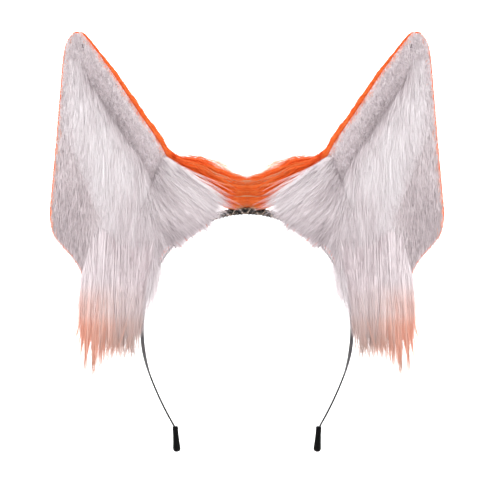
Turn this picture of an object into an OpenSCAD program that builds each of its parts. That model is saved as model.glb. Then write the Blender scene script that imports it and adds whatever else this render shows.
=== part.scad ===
// Animal ears headband: a thin spring-steel hoop that carries two tall faux-fur fox ears.
// +Z is up and the ears face -Y. The origin is on the centre line, on the underside of the
// wrapped crown, where the hoop rests on the head. Left and right are as seen from the front.
// The right side is drawn, and the left side is its mirror image.

/* [Hoop] */
// Width of the steel strip, front to back
strip_w = 4; // [3:0.5:6]
// Thickness of the steel strip
strip_t = 1; // [0.5:0.1:1.2]
// Radius of the crown, to the middle of the strip
crown_r = 58; // [50:1:70]
// Slope where the crown's bend ends and the side's begins
crown_turn = 50; // [47:1:53]
// Radius of each side, to the middle of the strip
side_r = 79; // [68:1:95]
// Slope where the side ends and the flatter tail begins
side_turn = 111; // [107:1:114]
// Radius of the tail
tail_r = 200; // [160:5:260]
// Slope where the tail ends
tail_turn = 120; // [117:1:124]
// Radius of the small bend that sets the tip upright
tip_bend_r = 5; // [4:0.5:8]
// Slope of the upright tip
tip_turn = 94; // [91:1:98]
// Length of the upright tip inside its cap
tip_length = 11; // [8:1:12]
// Slope at which each leg flexes against the crown
flex_turn = 58; // [57:0.5:62]

/* [Wrap and ribbon] */
// Cover of the braid over the strip's corners
wrap_cover = 0.34; // [0.3:0.02:0.8]
// Slope at which each leg's ribbon starts
ribbon_start = 60.5; // [60:0.5:64]
// Thickness of the ribbon over the strip
ribbon_t = 0.6; // [0.3:0.1:0.8]
// Slope at which the ribbon's doubled part ends
ribbon_end = 103; // [98:1:104]
// Slope at which the ribbon's glued tail ends
ribbon_tail_end = 109; // [106:0.5:110]

/* [End caps] */
// Length of each rubber cap
cap_length = 15.4; // [15:0.2:20]
// Radius of the cap's mouth, side to side
cap_mouth_r = 1.8; // [1.6:0.1:2.2]
// Radius of the cap's bulb, side to side
cap_bulb_r = 2.4; // [2.2:0.1:3.2]
// Rubber over the strip's narrow edges
cap_wall = 0.9; // [0.8:0.1:1.6]
// How far the cap sits in from the strip, towards the head
cap_shift = 0.5; // [0.1:0.1:0.5]

/* [Ears] */
// Height of the ear's tip above the origin
ear_top = 110; // [88:1:135]
// Reach of the ear's outer edge from the centre line
ear_reach = 116.4; // [108:0.2:140]
// Drop of the ear's outer lobe below the origin
lobe_drop = 38; // [34:1:42]
// Forward curl of the outer edge
cup_depth = 20; // [12:1:26]
// Forward curl of the inner edge
flap_depth = 14; // [8:1:18]
// Thickness of the foam core
foam_t = 2; // [1.6:0.2:3]
// Thickness of the plush lining with its backing
lining_t = 1.3; // [0.8:0.1:2]
// Thickness of the orange fur fabric on the back
shell_t = 1.6; // [1:0.1:2.4]
// Radius of the rolled edge
binding_r = 1.9; // [1.7:0.1:2.2]
// Radius of the frame wire inside the rolled edge
wire_r = 0.6; // [0.4:0.1:0.8]

/* [Ear base] */
// Play between the crown's wrap and the felt sleeve, for the ear's tilt
sleeve_play = 0.5; // [0.4:0.05:0.8]
// Wall of the felt sleeve
sleeve_wall = 1.3; // [1:0.1:2]
// How far before the ear's foot the sleeve starts, in degrees of slope
sleeve_lead = 4; // [2:0.5:8]
// Number of whip stitches round each sleeve
stitch_count = 5; // [3:1:7]
// Radius of the sewing thread
thread_r = 0.25; // [0.2:0.05:0.4]

/* [Fur] */
// Depth of the long fur in front of the lining
long_fur_t = 3.8; // [2:0.2:5]
// Thickness of the hanging side tuft
tuft_t = 6; // [4:0.5:8]
// Lowest tip of the side tuft below the origin
tuft_drop = 94; // [84:1:110]
// Thickness of the inner fan
fan_t = 7; // [4:0.5:9]
// Lowest tip of the inner fan below the origin
fan_drop = 31; // [26:1:33]
// Thickness of the orange fur at the ear's base
base_fur_t = 11; // [8:0.5:14]

/* [Hidden] */

left = -1;
right = 1;
black = "#17161a";
steel = "#2b2a2c";
plush_white = "#ddd6da";
fur_white = "#ebe6e8";
fox_orange = "#fb6a24";
salmon = "#f0a68c";

$fn = 96;
eps = 0.01;
// Gap between two pieces that are glued or sewn face to face
fit = 0.05;
// Gap between the crown and a leg where the strip flexes
flex_gap = 0.4;
// Gap between soft pieces
soft_gap = 0.3;

wrap_r = norm([strip_w / 2, strip_t / 2]) + wrap_cover;
sleeve_inner_r = wrap_r + sleeve_play;
sleeve_r = sleeve_inner_r + sleeve_wall;
sleeve_end = crown_turn - 1;
base_clear = sleeve_r + 2 * thread_r + soft_gap;

// The hoop's middle line, as [x, z] at a slope measured from level
function arc_at(centre, r, slope) = centre + r * [sin(slope), cos(slope)];
crown_centre = [0, wrap_r - crown_r];
crown_end = arc_at(crown_centre, crown_r, crown_turn);
side_centre = arc_at(crown_end, -side_r, crown_turn);
side_end = arc_at(side_centre, side_r, side_turn);
tail_centre = arc_at(side_end, -tail_r, side_turn);
tail_end = arc_at(tail_centre, tail_r, tail_turn);
bend_centre = arc_at(tail_end, tip_bend_r, tail_turn);
tip_start = arc_at(bend_centre, -tip_bend_r, tip_turn);
flex_half = flex_gap / side_r * 90 / PI;

// A run of points along one bend, off the middle line by off; a run away from the centre is
// written with its slopes turned half round
run_step = 2;
function run(centre, r, from, to, off) =
    let (n = ceil(abs(to - from) / run_step))
    [for (i = [0:n]) arc_at(centre, r + off, from + (to - from) * i / n)];
function flipped(points) = [for (p = points) [-p.x, p.y]];
function reversed(list) = [for (i = [len(list) - 1:-1:0]) list[i]];
function crown_run(off) =
    let (side = run(side_centre, side_r, crown_turn, flex_turn - flex_half, off))
    let (top = run(crown_centre, crown_r, run_step - crown_turn, crown_turn - run_step, off))
    concat(reversed(flipped(side)), top, side);
function leg_run(off) =
    let (tip = run(bend_centre, tip_bend_r, tail_turn + 180, tip_turn + 180, -off))
    let (foot = tip[len(tip) - 1])
    concat(run(side_centre, side_r, flex_turn + flex_half, side_turn, off),
        run(tail_centre, tail_r, side_turn + run_step, tail_turn - run_step, off),
        tip, [foot + tip_length * [cos(tip_turn), -sin(tip_turn)]]);

function mix(a, b, t) = a + (b - a) * t;
function clamp01(t) = min(max(t, 0), 1);
function smooth(t) = clamp01(t) * clamp01(t) * (3 - 2 * clamp01(t));

// The ear's outline: outer and inner edge at height z
tip_in = 14;
outer_up = [[0, 0], [0.27, -2], [0.86, -6.4], [0.95, -8.5], [1, -tip_in]];
outer_low = [[-1, -21], [-0.66, -13.5], [-0.41, -4.8], [-0.28, -0.8], [0, 0]];
inner_up = [[0.38, -69], [0.95, -22.2], [1, -tip_in - 2]];
function outer_x(z) = ear_reach
    + (z < 0 ? lookup(z / lobe_drop, outer_low) : lookup(z / ear_top, outer_up));
function ring_x(centre, r, z) = centre.x + sqrt(r * r - pow(z - centre.y, 2));
function base_x(z) = z > crown_end.y
    ? ring_x(crown_centre, crown_r + base_clear, z)
    : ring_x(side_centre, side_r + base_clear, z);
sleeve_start = asin(base_x(0) / (crown_r + base_clear)) - sleeve_lead;
function inner_x(z) = z <= 0
    ? base_x(z)
    : lookup(z / ear_top, concat([[0, base_x(0)]], [for (p = inner_up) [p[0], p[1] + ear_reach]]));

// The ear's cup: how far its middle surface stands forward of the hoop, at share u of the way
// from the outer edge to the inner edge. It is creased along the fold line.
fold_line = [[0, 1], [0.1, 0.8], [0.2, 0.74], [0.33, 0.735],
    [0.41, 0.67], [0.6, 0.595], [0.75, 0.47], [1, 0.45]];
flap_rise = 34;
function fold_u(z) = lookup(z / ear_top, fold_line);
function outer_curl(z) = cup_depth * (z < 0 ? mix(1, 0.75, -z / lobe_drop) : mix(1, 0.18, z / ear_top));
function inner_curl(z) = flap_depth * smooth(z / flap_rise) * mix(1, 0.2, clamp01(z / ear_top));
function cup_y(u, z) = u < fold_u(z)
    ? -outer_curl(z) * pow((fold_u(z) - u) / fold_u(z), 1.6)
    : -inner_curl(z) * pow((u - fold_u(z)) / max(1 - fold_u(z), eps), 0.8);

// A point of a panel: share v of the way across, between edges set in by inset, except along
// the sleeve, where a panel is sewn down with no rolled edge
foot_z = 2;
function panel_point(v, z, inset, y) =
    let (x = mix(outer_x(z) - inset, inner_x(z) + (z < 0 ? 0 : inset), v))
    let (u = (outer_x(z) - x) / (outer_x(z) - inner_x(z)))
    [x, cup_y(u, z) + y, z];

// A polyhedron over a grid of front points and a grid of back points
module slab_grid(front, back) {
    rows = len(front);
    cols = len(front[0]);
    n = rows * cols;
    points = concat([for (r = front) each r], [for (r = back) each r]);
    front_faces = [for (i = [0:rows - 2], j = [0:cols - 2])
        let (k = i * cols + j)
        each [[k, k + 1, k + cols], [k + 1, k + cols + 1, k + cols]]];
    back_faces = [for (f = front_faces) [f[2] + n, f[1] + n, f[0] + n]];
    rim = concat([for (j = [0:cols - 1]) j],
        [for (i = [1:rows - 1]) i * cols + cols - 1],
        [for (j = [cols - 2:-1:0]) (rows - 1) * cols + j],
        [for (i = [rows - 2:-1:1]) i * cols]);
    m = len(rim);
    rim_faces = [for (i = [0:m - 1])
        let (a = rim[i], b = rim[(i + 1) % m])
        each [[b, a, a + n], [b, a + n, b + n]]];
    polyhedron(points, concat(front_faces, back_faces, rim_faces), convexity = 6);
}

// A sheet of the ear from y0 to y1 off its middle surface, with rows along the sleeve first
module ear_layer(y0, y1, z0, z1, v0, v1, inset, sleeve_rows, rows, cols) {
    heights = concat([for (i = [0:sleeve_rows]) mix(z0, -foot_z, i / sleeve_rows)],
        [for (i = [0:rows]) mix(foot_z, z1, i / rows)]);
    function grid(y) = [for (z = heights) [for (j = [0:cols])
        panel_point(mix(v0, v1, j / cols), z, inset, y)]];
    slab_grid(grid(y0), grid(y1));
}

// A round rod or tube swept along a path of points
module sweep(path, r, sides, bore = 0) {
    n = len(path);
    function way(i) = path[min(i + 1, n - 1)] - path[max(i - 1, 0)];
    function unit(v) = v / norm(v);
    function ring(i, radius) =
        let (t = unit(way(i)), a = unit(cross(t, [0, 1, 0])), b = cross(t, a))
        [for (k = [0:sides - 1])
            path[i] + radius * (cos(360 * k / sides) * a + sin(360 * k / sides) * b)];
    outer = [for (i = [0:n - 1]) each ring(i, r)];
    inner = bore > 0 ? [for (i = [0:n - 1]) each ring(i, bore)] : [];
    function skin(first) = [for (i = [0:n - 2], k = [0:sides - 1])
        let (a = first + i * sides + k, b = first + i * sides + (k + 1) % sides)
        each [[a, b, b + sides], [a, b + sides, a + sides]]];
    function turned(faces) = [for (f = faces) [f[2], f[1], f[0]]];
    function washer(row) = [for (k = [0:sides - 1])
        let (a = row * sides + k, b = row * sides + (k + 1) % sides)
        each [[a, b, b + n * sides], [a, b + n * sides, a + n * sides]]];
    function disc(row) = [[for (k = [0:sides - 1]) row * sides + k]];
    ends = bore > 0
        ? concat(turned(washer(0)), washer(n - 1))
        : concat([for (f = disc(0)) [for (k = [sides - 1:-1:0]) f[k]]], disc(n - 1));
    walls = bore > 0 ? concat(skin(0), turned(skin(n * sides))) : skin(0);
    polyhedron(concat(outer, inner), concat(walls, ends), convexity = 6);
}

// The ear's edge from the foot of its inner edge, over the tip, to the foot of its lobe
edge_steps = 16;
lobe_steps = 8;
edge_foot = 2 * foot_z;
edge_crown = 0.95;
function edge_point(v, z) = panel_point(v, z, binding_r, 0);
ear_edge = concat(
    [for (i = [0:edge_steps]) edge_point(1, mix(edge_foot, edge_crown * ear_top, i / edge_steps))],
    [edge_point(0.8, ear_top - 1.5 * binding_r), edge_point(0.5, ear_top - binding_r)],
    [edge_point(0.2, ear_top - 1.5 * binding_r)],
    [for (i = [edge_steps:-1:0]) edge_point(0, mix(0, edge_crown * ear_top, i / edge_steps))],
    [for (i = [1:lobe_steps]) edge_point(0, -(lobe_drop - binding_r) * i / lobe_steps)]);

module on_side(side) {
    mirror([side == left ? 1 : 0, 0, 0]) children();
}

// An arc of the hoop: children is the cross-section, with its X pointing out of the bend
module bent(centre, r, from, to) {
    translate([centre.x, 0, centre.y])
        rotate([90, 0, 0])
            rotate([0, 0, 90 - to])
                rotate_extrude(angle = to - from, $fn = 180)
                    translate([r, 0])
                        children();
}

// The strip's cross-section, grown by extra all round
module strip_section(extra) {
    square([strip_t + 2 * extra, strip_w + 2 * extra], center = true);
}

// A flat shape drawn in X and Z, and thick from y0 to y1
module upright(y0, y1) {
    translate([0, y1, 0])
        rotate([90, 0, 0])
            linear_extrude(y1 - y0)
                children();
}

// Spring-steel strip over the head, between the two flexing places
module crown_strip() {
    color(steel)
        upright(-strip_w / 2, strip_w / 2)
            polygon(concat(crown_run(strip_t / 2), reversed(crown_run(-strip_t / 2))));
}

// Black braid wound over the crown, so that the ears can't slide
module crown_wrap() {
    color(black)
        bent(crown_centre, crown_r, -crown_turn, crown_turn)
            difference() {
                circle(wrap_r);
                strip_section(fit);
            }
}

// Spring-steel leg, with its upright tip
module leg_strip(side) {
    color(steel)
        on_side(side)
            upright(-strip_w / 2, strip_w / 2)
                polygon(concat(leg_run(strip_t / 2), reversed(leg_run(-strip_t / 2))));
}

// Black ribbon glued round the leg, doubled and then single along its tail
module leg_ribbon(side) {
    module sleeve_section(cover)
        difference() {
            strip_section(fit + cover);
            strip_section(fit);
        }
    color(black)
        on_side(side) {
            bent(side_centre, side_r, ribbon_start, ribbon_end)
                sleeve_section(ribbon_t);
            bent(side_centre, side_r, ribbon_end, ribbon_tail_end)
                sleeve_section(ribbon_t / 2);
        }
}

// Rubber cap pushed over the tip, with a round bulb
module end_cap(side) {
    spread = strip_w / 2 + cap_wall;
    least_spread = 0.3;
    mouth_z = 1.2;
    module ball_pair(r, z)
        for (y = [-1, 1])
            translate([-cap_shift, y * max(spread - r, least_spread), z])
                sphere(r, $fn = 24);
    color(black)
        on_side(side)
            translate([tip_start.x, 0, tip_start.y])
                rotate([0, tip_turn - 90, 0])
                    difference() {
                        hull() {
                            ball_pair(cap_mouth_r, mouth_z - cap_mouth_r);
                            ball_pair(cap_bulb_r, mouth_z + cap_bulb_r - cap_length);
                        }
                        translate([-strip_t / 2 - fit, -strip_w / 2 - fit, -tip_length - fit])
                            cube([strip_t + 2 * fit, strip_w + 2 * fit, tip_length + 2 * cap_mouth_r]);
                    }
}

// Felt sleeve round the wrapped crown, on which the ear tilts
module base_sleeve(side) {
    color(plush_white)
        on_side(side)
            bent(crown_centre, crown_r, sleeve_start, sleeve_end)
                difference() {
                    circle(sleeve_r);
                    circle(sleeve_inner_r);
                }
}

// Whip stitches that hold the ear's base to its sleeve
module base_stitches(side) {
    color(fox_orange)
        on_side(side)
            for (i = [0:stitch_count - 1]) {
                slope = mix(sleeve_start + 2, sleeve_end - 2, i / (stitch_count - 1));
                at = arc_at(crown_centre, crown_r, slope);
                translate([at.x, 0, at.y])
                    rotate([0, 90 + slope, 0])
                        rotate_extrude($fn = 48)
                            translate([sleeve_r + thread_r + fit, 0])
                                circle(thread_r, $fn = 16);
            }
}

// How far the panels stop short of the ear's outline, inside the rolled edge
panel_inset = 2.4 * binding_r + fit;
panel_low = -lobe_drop + 1.2 * binding_r;
panel_high = ear_top - 3.4 * binding_r;
// The panels are drawn on one grid, so that their faces lie parallel
low_rows = 6;
high_rows = 18;
panel_cols = 12;
module ear_panel(y0, y1) {
    ear_layer(y0, y1, panel_low, panel_high, 0, 1, panel_inset, low_rows, high_rows, panel_cols);
}

// Foam core that keeps the ear's shape
module ear_foam(side) {
    color("white")
        on_side(side)
            ear_panel(-foam_t / 2, foam_t / 2);
}

// Plush lining on the ear's face
module ear_lining(side) {
    front = -foam_t / 2 - fit;
    color(plush_white)
        on_side(side)
            ear_panel(front - lining_t, front);
}

// Orange fur fabric on the ear's back
module ear_shell(side) {
    back = foam_t / 2 + fit;
    color(fox_orange)
        on_side(side)
            ear_panel(back, back + shell_t);
}

// Back fabric rolled round the edge, over the frame wire
module edge_binding(side) {
    color(fox_orange)
        on_side(side)
            sweep(ear_edge, binding_r, 10, wire_r + fit);
}

// Wire bent to the ear's outline
module ear_wire(side) {
    color(steel)
        on_side(side)
            sweep(ear_edge, wire_r, 8);
}

// Thread tack that closes the lining below the tip
module tip_stitch(side) {
    stitch_l = 2.4;
    stitch_lean = 24;
    below_tip = 9;
    at = panel_point(0.75, ear_top - below_tip, panel_inset,
        -foam_t / 2 - lining_t - soft_gap - thread_r);
    color(black)
        on_side(side)
            translate(at)
                for (lean = [-stitch_lean, stitch_lean])
                    rotate([0, lean, 0])
                        cylinder(h = stitch_l, r = thread_r, center = true, $fn = 16);
}

// Long white fur sewn down the middle of the ear's face, on the lining's rows and columns
module long_fur(side) {
    back = -foam_t / 2 - lining_t - soft_gap;
    rows = 12;
    cols = 5;
    top = mix(foot_z, panel_high, rows / high_rows);
    from = 3 / panel_cols;
    color(fur_white)
        on_side(side)
            ear_layer(back - long_fur_t, back, panel_low, top, from, from + cols / panel_cols,
                panel_inset, low_rows, rows, cols);
}

// Tuft that hangs from the lobe, in front of the leg
tuft_back = -10;
tuft_in = 18.4;
tuft_root = 60;
// Its ragged end, outermost first: how far in from its outer side, and up from its lowest tip
tuft_ends = [[0, 16], [6, 0], [14, 10], [22, 0], [29, 12], [33, 4], [35, 24], [39, 40]];
module side_tuft(side) {
    top = panel_low - soft_gap;
    shoulder = -lobe_drop - 0.6 * binding_r;
    shoulder_r = 10;
    outer = ear_reach - tuft_in;
    color(salmon)
        on_side(side)
            upright(tuft_back - tuft_t, tuft_back)
                polygon(concat([[tuft_root, top], [outer - 3.6 * binding_r, top],
                    [outer - 3 * binding_r, shoulder], [outer - 1, shoulder - 1],
                    [outer, shoulder - shoulder_r]],
                    [for (e = tuft_ends) [outer - e.x, e.y - tuft_drop]]));
}

// Fur fan that sweeps from the ear's inner foot to the centre, in front of the hoop
fan_back = -sleeve_r - 2 * thread_r - soft_gap;
fan_root = [62, -30];
// Its upper edge, from the foot of the ear's inner edge: how far out and up
fan_top = [[-9, 12], [6, 30], [12, 34], [-3.2, 0], [3, -3]];
// Its ragged end, outermost first: how far out from that foot, and up from its lowest tip
fan_ends = [[16, 0], [8, 5], [-1, 0], [-6, 8], [-11, 7], [-17, 21]];
module inner_fan(side) {
    foot = base_x(0);
    color(fur_white)
        on_side(side)
            upright(fan_back - fan_t, fan_back)
                polygon(concat([[3 * foot / 8, foot_z]], [for (p = fan_top) [foot + p.x, p.y]],
                    [fan_root, [fan_root.x - 4, 4 - lobe_drop]],
                    [for (e = fan_ends) [foot + e.x, e.y - fan_drop]]));
}

// Orange fur at the ear's foot, over the hoop
module base_fur(side) {
    // Gap to the ear's inner edge, half the gap at the centre line, and share in front
    lean = 3.2;
    parting = 3;
    forward = 0.3;
    steps = 6;
    top_z = 0.33 * ear_top;
    // Its crest from the centre outwards: how far out, and the share of the ear's height
    crest = [[0, 0.22], [7, 0.25], [19, 0.3]];
    color(fox_orange)
        on_side(side)
            upright(-forward * base_fur_t, (1 - forward) * base_fur_t)
                polygon(concat(
                    [for (p = crest) [parting + p.x, p.y * ear_top]],
                    [[inner_x(top_z) - lean - 5, top_z + 1]],
                    [for (i = [steps:-1:1]) [inner_x(top_z * i / steps) - lean, top_z * i / steps]],
                    [for (i = [steps:-1:0])
                        let (x = mix(parting, base_x(0) - lean, i / steps))
                        [x, crown_centre.y + sqrt(pow(crown_r + base_clear, 2) - x * x)]]));
}

crown_strip();
crown_wrap();
leg_strip(left);  // left_leg_strip
leg_ribbon(left);  // left_leg_ribbon
end_cap(left);  // left_end_cap
leg_strip(right);  // right_leg_strip
leg_ribbon(right);  // right_leg_ribbon
end_cap(right);  // right_end_cap
base_sleeve(left);  // left_base_sleeve
base_stitches(left);  // left_base_stitches
ear_foam(left);  // left_ear_foam
ear_wire(left);  // left_ear_wire
ear_lining(left);  // left_ear_lining
ear_shell(left);  // left_ear_shell
edge_binding(left);  // left_edge_binding
tip_stitch(left);  // left_tip_stitch
long_fur(left);  // left_long_fur
side_tuft(left);  // left_side_tuft
inner_fan(left);  // left_inner_fan
base_fur(left);  // left_base_fur
base_sleeve(right);  // right_base_sleeve
base_stitches(right);  // right_base_stitches
ear_foam(right);  // right_ear_foam
ear_wire(right);  // right_ear_wire
ear_lining(right);  // right_ear_lining
ear_shell(right);  // right_ear_shell
edge_binding(right);  // right_edge_binding
tip_stitch(right);  // right_tip_stitch
long_fur(right);  // right_long_fur
side_tuft(right);  // right_side_tuft
inner_fan(right);  // right_inner_fan
base_fur(right);  // right_base_fur
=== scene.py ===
# Animal ears headband: a black spring-steel hoop with two tall faux-fur fox ears.
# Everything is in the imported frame: +Z up, the ears face -Y, and the origin is on the
# underside of the wrapped crown. Shapes are worked out in millimetres for the right side
# (+X), and the left side is its mirror image.
import math

import bpy
import numpy as np
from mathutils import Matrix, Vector


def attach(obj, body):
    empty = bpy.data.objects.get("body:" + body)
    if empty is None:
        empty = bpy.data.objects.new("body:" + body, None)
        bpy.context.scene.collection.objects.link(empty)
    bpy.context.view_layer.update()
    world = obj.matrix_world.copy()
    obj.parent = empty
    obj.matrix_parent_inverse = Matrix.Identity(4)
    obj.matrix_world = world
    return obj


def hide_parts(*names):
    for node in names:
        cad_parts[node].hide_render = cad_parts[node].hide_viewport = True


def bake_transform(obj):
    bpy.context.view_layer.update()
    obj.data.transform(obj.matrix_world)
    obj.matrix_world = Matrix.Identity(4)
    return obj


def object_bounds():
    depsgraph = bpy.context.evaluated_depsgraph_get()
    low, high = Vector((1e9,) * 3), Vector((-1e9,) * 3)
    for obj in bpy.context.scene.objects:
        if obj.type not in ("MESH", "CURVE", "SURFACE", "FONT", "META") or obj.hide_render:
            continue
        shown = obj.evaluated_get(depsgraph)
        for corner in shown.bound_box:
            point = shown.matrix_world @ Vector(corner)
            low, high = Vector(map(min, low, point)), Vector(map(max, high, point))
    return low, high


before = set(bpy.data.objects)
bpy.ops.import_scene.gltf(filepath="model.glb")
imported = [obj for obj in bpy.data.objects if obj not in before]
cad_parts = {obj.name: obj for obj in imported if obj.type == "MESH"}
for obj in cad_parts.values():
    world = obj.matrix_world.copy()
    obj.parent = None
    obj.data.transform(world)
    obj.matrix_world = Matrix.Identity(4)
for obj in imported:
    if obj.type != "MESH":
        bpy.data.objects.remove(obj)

MM = 0.001
scene = bpy.context.scene
cad_box = [[float(x) for x in corner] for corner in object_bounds()]


# --- Camera -----------------------------------------------------------------------------
# A long lens straight in front, level with the middle of the headband, so that the two
# ears and the hoop fill the frame.
frame_width = 300 * MM
lens_mm = 150
sensor_mm = 36
view_centre = Vector((1.8 * MM, 0, -21 * MM))
camera_data = bpy.data.cameras.new("camera")
camera_data.lens = lens_mm
camera_data.sensor_width = sensor_mm
camera_data.clip_start = 0.05
camera = bpy.data.objects.new("camera", camera_data)
scene.collection.objects.link(camera)
camera.location = view_centre + Vector((0, -frame_width * lens_mm / sensor_mm, 0))
camera.rotation_euler = (math.radians(90), 0, 0)
scene.camera = camera
scene.view_settings.view_transform = "Standard"


# --- Floor and light --------------------------------------------------------------------
# A white paper sweep: a floor under the end caps that curves up into a wall far behind.
# A broad soft box hangs overhead, two stand in front, and one lights the wall.
def linear(hex_colour):
    """An sRGB hex colour as linear red, green, blue and 1."""
    parts = [int(hex_colour[i:i + 2], 16) / 255 for i in (1, 3, 5)]
    return [c / 12.92 if c <= 0.04045 else ((c + 0.055) / 1.055) ** 2.4 for c in parts] + [1.0]


def node(tree, kind, inputs=(), links=(), **settings):
    """Adds a shader node with its settings, its inputs' values and the links that feed it."""
    made = tree.nodes.new("ShaderNode" + kind)
    for key, value in settings.items():
        setattr(made, key, value)
    for key, value in dict(inputs).items():
        made.inputs[key].default_value = value
    for key, source in dict(links).items():
        tree.links.new(source, made.inputs[key])
    return made


def new_material(name, **constants):
    """A material, its node tree and its Principled shader, with the shader's constants set."""
    material = bpy.data.materials.new(name)
    material.use_nodes = True
    principled = material.node_tree.nodes["Principled BSDF"]
    for key, value in constants.items():
        principled.inputs[key.replace("_", " ")].default_value = value
    return material, material.node_tree, principled


def colour_ramp(tree, factor, stops):
    """A colour ramp over factor, with stops as (place, hex colour)."""
    made = node(tree, "ValToRGB", links={"Fac": factor})
    elements = made.color_ramp.elements
    while len(elements) < len(stops):
        elements.new(0.5)
    for element, (place, colour) in zip(elements, stops):
        element.position = place
        element.color = linear(colour)
    return made.outputs["Color"]


def select_only(*pieces):
    """Selects these pieces and nothing else, the last of them active."""
    bpy.ops.object.select_all(action="DESELECT")
    for piece in pieces:
        piece.select_set(True)
    bpy.context.view_layer.objects.active = pieces[-1]


floor_z = cad_box[0][2] - 12 * MM
floor_half = 3.0
sweep_back = 1.8
sweep_height = 2.4
bpy.ops.object.select_all(action="DESELECT")
bpy.ops.mesh.primitive_plane_add(size=2 * floor_half, location=(0, sweep_back - floor_half, floor_z))
floor = bpy.context.object
floor.name = "floor"
select_only(floor)
bpy.ops.object.transform_apply(location=True, rotation=True, scale=True)
bpy.ops.object.mode_set(mode="EDIT")
bpy.ops.mesh.select_mode(type="EDGE")
bpy.ops.mesh.select_all(action="DESELECT")
bpy.ops.object.mode_set(mode="OBJECT")
for edge in floor.data.edges:
    edge.select = all(floor.data.vertices[v].co.y > sweep_back - 0.01 for v in edge.vertices)
bpy.ops.object.mode_set(mode="EDIT")
bpy.ops.mesh.extrude_region_move(TRANSFORM_OT_translate={"value": (0, 0, sweep_height)})
bpy.ops.object.mode_set(mode="OBJECT")
curve = floor.modifiers.new("sweep", "BEVEL")
curve.width = 0.8
curve.segments = 16
bpy.ops.object.modifier_apply(modifier="sweep")
bpy.ops.object.shade_smooth()
# Seamless paper: uncoated and matt, so it takes soft shadows and shows no gloss.
paper, tree, principled = new_material("seamless_paper", Roughness=0.9)
principled.inputs["Base Color"].default_value = linear("#fafafa")
floor.data.materials.append(paper)

for name, place, size, power, aim in (
    ("overhead_box", (0.0, -0.45, 1.25), 1.1, 9, (0, 0, 0)),
    ("left_front_box", (-0.9, -1.5, 0.7), 0.9, 8, (0, 0, 0)),
    ("right_front_box", (0.9, -1.5, 0.7), 0.9, 8, (0, 0, 0)),
    ("wall_box", (0.0, 0.6, 1.5), 1.6, 50, (0, 1.8, 0.1)),
):
    light_data = bpy.data.lights.new(name, "AREA")
    light_data.size = size
    light_data.energy = power
    light = bpy.data.objects.new(name, light_data)
    scene.collection.objects.link(light)
    light.location = place
    light.rotation_euler = (Vector(aim) - Vector(place)).to_track_quat("-Z", "Y").to_euler()
world = bpy.data.worlds.new("surround")
world.use_nodes = True
world.node_tree.nodes["Background"].inputs["Color"].default_value = linear("#ffffff")
world.node_tree.nodes["Background"].inputs["Strength"].default_value = 0.66
scene.world = world


# --- Hoop strip -------------------------------------------------------------------------
# One thin strip of spring steel, coated black, bent to the head: a crown, two sides and two
# flatter tails. It is drawn as two halves, and each leg springs outwards.
strip_w = 4.0
strip_t = 1.0
strip_corner = 0.15
crown_r = 58.0
crown_turn = 50.0
side_r = 79.0
side_turn = 111.0
tail_r = 200.0
tail_turn = 120.0
tip_bend_r = 5.0
tip_turn = 94.0
tip_length = 11.0
wrap_cover = 0.34
wrap_r = math.hypot(strip_w / 2, strip_t / 2) + wrap_cover
sides = ((1, "right"), (-1, "left"))


def arc_at(centre, r, slope):
    """A point, as x and z, at a slope on a bend of radius r."""
    return np.array(centre) + r * np.array([math.sin(math.radians(slope)), math.cos(math.radians(slope))])


crown_centre = np.array([0.0, wrap_r - crown_r])
crown_end = arc_at(crown_centre, crown_r, crown_turn)
side_centre = arc_at(crown_end, -side_r, crown_turn)
side_end = arc_at(side_centre, side_r, side_turn)
tail_centre = arc_at(side_end, -tail_r, side_turn)
tail_end = arc_at(tail_centre, tail_r, tail_turn)
bend_centre = arc_at(tail_end, tip_bend_r, tail_turn)
tip_start = arc_at(bend_centre, -tip_bend_r, tip_turn)
tip_way = np.array([math.cos(math.radians(tip_turn)), -math.sin(math.radians(tip_turn))])


def bend(centre, r, first, last, step=1.0, ends=True):
    """Places and outward normals along one bend, by slope."""
    slopes = np.linspace(first, last, max(int(abs(last - first) / step), 3) + 1)
    slopes = slopes if ends else slopes[:-1]
    return [arc_at(centre, r, s) for s in slopes], [arc_at((0, 0), 1, s) for s in slopes]


def chain(*bends):
    """Several bends in a row, as arrays of places and normals."""
    return np.array([p for b in bends for p in b[0]]), np.array([n for b in bends for n in b[1]])


def mesh_piece(name, points, faces, material, side=1):
    """A piece from points in millimetres and faces, mirrored for the left side."""
    points = np.asarray(points, float) * MM
    if side < 0:
        points = points * (-1, 1, 1)
        faces = [tuple(reversed(f)) for f in faces]
    data = bpy.data.meshes.new(name)
    data.from_pydata(points.tolist(), [], [tuple(int(i) for i in f) for f in faces])
    data.materials.append(material)
    piece = bpy.data.objects.new(name, data)
    scene.collection.objects.link(piece)
    select_only(piece)
    bpy.ops.object.mode_set(mode="EDIT")
    bpy.ops.mesh.select_all(action="SELECT")
    bpy.ops.mesh.normals_make_consistent(inside=False)
    bpy.ops.object.mode_set(mode="OBJECT")
    bpy.ops.object.shade_smooth_by_angle(angle=math.radians(40))
    return piece


def loft(rings):
    """Points and faces of a closed bar through rings of equal length."""
    n = len(rings[0])
    points = [p for ring in rings for p in ring]
    faces = [(i * n + k, i * n + (k + 1) % n, (i + 1) * n + (k + 1) % n, (i + 1) * n + k)
             for i in range(len(rings) - 1) for k in range(n)]
    faces.append(tuple(reversed(range(n))))
    faces.append(tuple(range((len(rings) - 1) * n, len(rings) * n)))
    return points, faces


def strip_rings(places, normals, width, thickness, corner):
    """Rounded strip sections along the hoop; thickness may be one number or one a place."""
    thickness = np.broadcast_to(thickness, len(places))
    rings = []
    for p, n, t in zip(places, normals, thickness):
        w, h = width / 2, t / 2
        c = min(corner, 0.45 * t)
        section = [(h, -w + c), (h, w - c), (h - c, w), (c - h, w),
                   (-h, w - c), (-h, c - w), (c - h, -w), (h - c, -w)]
        rings.append([(p[0] + out * n[0], y, p[1] + out * n[1]) for out, y in section])
    return rings


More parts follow.
